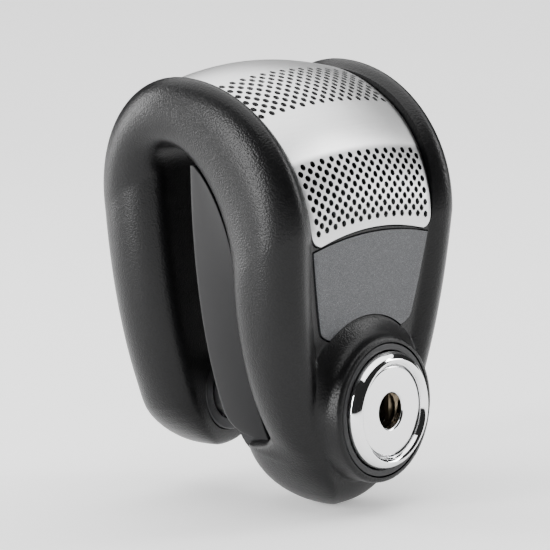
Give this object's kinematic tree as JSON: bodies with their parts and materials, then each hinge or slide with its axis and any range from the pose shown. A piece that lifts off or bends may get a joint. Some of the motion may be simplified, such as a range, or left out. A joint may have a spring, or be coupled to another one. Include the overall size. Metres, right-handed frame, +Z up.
{
  "type": "disc brake lock",
  "caption": "Motorcycle disc brake lock: a U-shaped body with a moulded cover and a perforated arch plate, locked by a keyed push button that drives a pin across the disc slot.",
  "frame": {"origin": "under the middle of the lock, at the lowest point of the front leg", "axes": "+X across the width, to the right of someone who faces the button; -Y the side of the push button; +Z up, from the legs to the arch"},
  "size_m": [0.062, 0.064, 0.0979],
  "materials": {
    "cover_black": "satin, fine moulded grain",
    "insert_grey": "smooth satin",
    "panel_grey": "speckled powder coat",
    "plate_steel": "brushed",
    "backing_dark": "matt",
    "core_steel": "blackened",
    "collar_black": "smooth satin",
    "seal_rubber": "matt",
    "button_chrome": "polished",
    "pin_steel": "ground",
    "disc_brass": "machined"
  },
  "bodies": {
    "root": {"core_body": "core_steel", "outer_cover": "cover_black", "side_insert_left": "insert_grey", "side_insert_right": "insert_grey", "front_panel": "panel_grey", "grille_plate": "plate_steel", "grille_backing": "backing_dark", "bore_collar": "collar_black", "bore_seal": "seal_rubber", "pin_guide_bush": "pin_steel", "receiver_bush": "pin_steel", "retaining_screw": "pin_steel", "latch_spring": "pin_steel", "latch_plug": "pin_steel"},
    "button": {"button_shell": "button_chrome", "locking_pin": "pin_steel", "cross_pin": "pin_steel", "snap_ring": "pin_steel", "return_spring": "pin_steel"},
    "rotor": {"face_disc": "button_chrome", "rotor_barrel": "disc_brass", "detainer_disc_1": "disc_brass", "detainer_disc_2": "disc_brass", "detainer_disc_3": "disc_brass", "detainer_disc_4": "disc_brass", "detainer_disc_5": "disc_brass", "detainer_disc_6": "disc_brass", "disc_spacer_1": "pin_steel", "disc_spacer_2": "pin_steel", "disc_spacer_3": "pin_steel", "disc_spacer_4": "pin_steel", "disc_spacer_5": "pin_steel"},
    "sidebar": {"sidebar": "pin_steel"},
    "latch": {"latch_plunger": "pin_steel"}
  },
  "joints": [
    {"name": "button_slide", "type": "slide", "parent": "root", "child": "button", "axis": [0, -1, 0], "range_m": [0, 0.0173], "deforming": ["return_spring"]},
    {"name": "key_turn", "type": "hinge", "parent": "button", "child": "rotor", "pos_m": [0, -0.03, 0.023], "axis": [0, 1, 0], "range_deg": [0, 90]},
    {"name": "sidebar_drop", "type": "slide", "parent": "rotor", "child": "sidebar", "axis": [0, 0, -1], "range_m": [0, 0.00122]},
    {"name": "latch_lift", "type": "slide", "parent": "root", "child": "latch", "axis": [0, 0, 1], "range_m": [0, 0.00182], "deforming": ["latch_spring"]}
  ],
  "couplings": [
    {"joint": "sidebar_drop", "follows": "key_turn", "m_per_rad": 0.00076394},
    {"joint": "latch_lift", "follows": "key_turn", "m_per_rad": 0.0011459}
  ]
}
